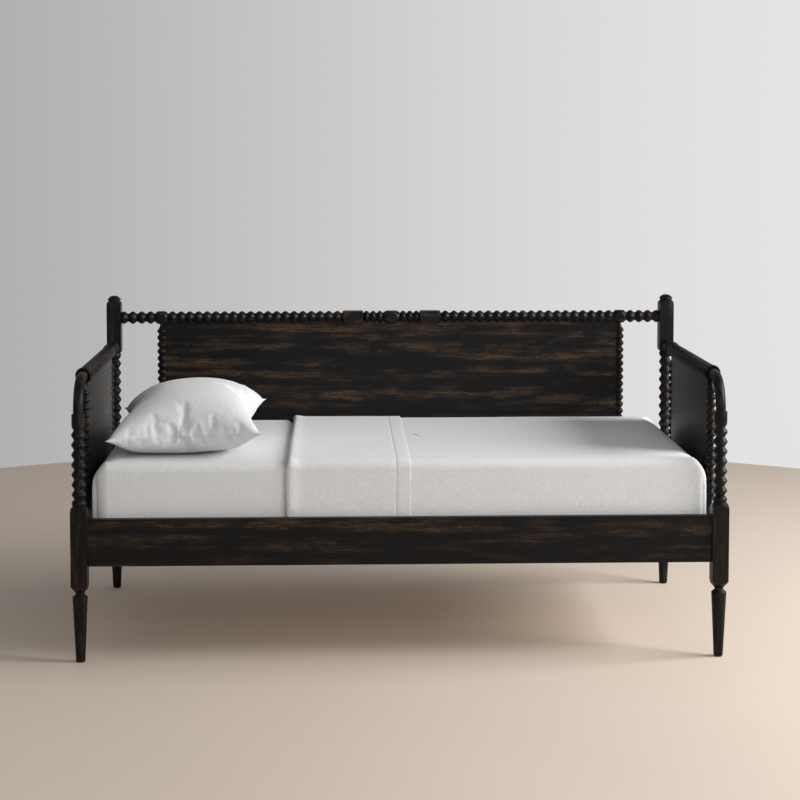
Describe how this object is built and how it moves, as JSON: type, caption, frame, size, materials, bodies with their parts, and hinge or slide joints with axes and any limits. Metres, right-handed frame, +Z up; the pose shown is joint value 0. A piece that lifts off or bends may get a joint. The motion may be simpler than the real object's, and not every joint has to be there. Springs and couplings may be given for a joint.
{
  "type": "daybed",
  "caption": "Twin daybed in dark turned wood: spooled posts and top rail, flat back and end panels, bent arms, board rails, mattress, white sheets and a pillow.",
  "frame": {"origin": "on the floor, at the centre of the daybed", "axes": "+X along the bed towards the foot end, +Y from the open front to the back panel, +Z up"},
  "size_m": [2.0304, 1.0506, 1.054],
  "materials": {
    "ebonised_wood": "near-black stain with brown rub-through along the grain, satin lacquer",
    "slat_wood": "planed pine, unfinished",
    "zinc_steel": "zinc plated",
    "nylon": "matt",
    "webbing": "woven tape",
    "mattress_ticking": "quilted knit",
    "white_cotton": "soft brushed cotton weave"
  },
  "bodies": {
    "frame": {"front_left_post": "ebonised_wood", "front_right_post": "ebonised_wood", "back_left_post": "ebonised_wood", "back_right_post": "ebonised_wood", "back_top_rail": "ebonised_wood", "back_panel": "ebonised_wood", "back_left_spindle": "ebonised_wood", "back_right_spindle": "ebonised_wood", "back_lower_rail": "ebonised_wood", "front_side_rail": "ebonised_wood", "left_end_rail": "ebonised_wood", "left_arm_rail": "ebonised_wood", "left_arm_bend": "ebonised_wood", "left_side_panel": "ebonised_wood", "left_front_spindle": "ebonised_wood", "left_back_spindle": "ebonised_wood", "right_end_rail": "ebonised_wood", "right_arm_rail": "ebonised_wood", "right_arm_bend": "ebonised_wood", "right_side_panel": "ebonised_wood", "right_front_spindle": "ebonised_wood", "right_back_spindle": "ebonised_wood", "front_slat_ledger": "slat_wood", "back_slat_ledger": "slat_wood", "slat_01": "slat_wood", "slat_02": "slat_wood", "slat_03": "slat_wood", "slat_04": "slat_wood", "slat_05": "slat_wood", "slat_06": "slat_wood", "slat_07": "slat_wood", "slat_08": "slat_wood", "slat_09": "slat_wood", "slat_10": "slat_wood", "slat_11": "slat_wood", "slat_12": "slat_wood", "arm_dowels": "slat_wood", "rail_dowels": "slat_wood", "rail_bolts": "zinc_steel", "barrel_nuts": "zinc_steel", "ledger_screws": "zinc_steel", "slat_screws": "zinc_steel", "foot_glides": "nylon", "slat_straps": "webbing"},
    "mattress": {"mattress": "mattress_ticking", "fitted_sheet": "white_cotton", "top_sheet": "white_cotton"},
    "pillow": {"pillow": "white_cotton"}
  },
  "joints": [
    {"name": "mattress_lift", "type": "slide", "parent": "frame", "child": "mattress", "axis": [0, 0, 1], "range_m": [0, 0.3]},
    {"name": "pillow_lift", "type": "slide", "parent": "mattress", "child": "pillow", "axis": [0, 0, 1], "range_m": [0, 0.2]}
  ]
}
